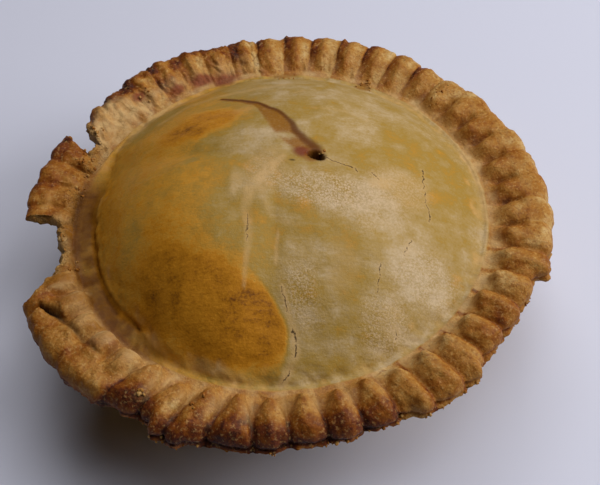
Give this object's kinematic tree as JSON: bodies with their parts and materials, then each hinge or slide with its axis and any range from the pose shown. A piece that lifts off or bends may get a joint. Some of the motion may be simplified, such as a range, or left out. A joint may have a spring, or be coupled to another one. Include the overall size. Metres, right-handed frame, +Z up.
{
  "type": "pork pie",
  "caption": "Whole round pork pie with a domed pastry lid, a wide finger-crimped rim with a broken stretch, and a tapered case.",
  "frame": {"origin": "centre of the flat base, on the surface the pie stands on", "axes": "+Z up along the pie's axis; the broken stretch of rim is towards -X and the steam hole a little towards +X of the lid's middle"},
  "size_m": [0.1771, 0.1771, 0.0725],
  "materials": {
    "crust": "baked golden pastry, satin egg glaze on the lid, dry and browner on the crimps; matte_plastic stands in for pastry"
  },
  "bodies": {
    "root": {"pork_pie": "crust"}
  },
  "joints": []
}
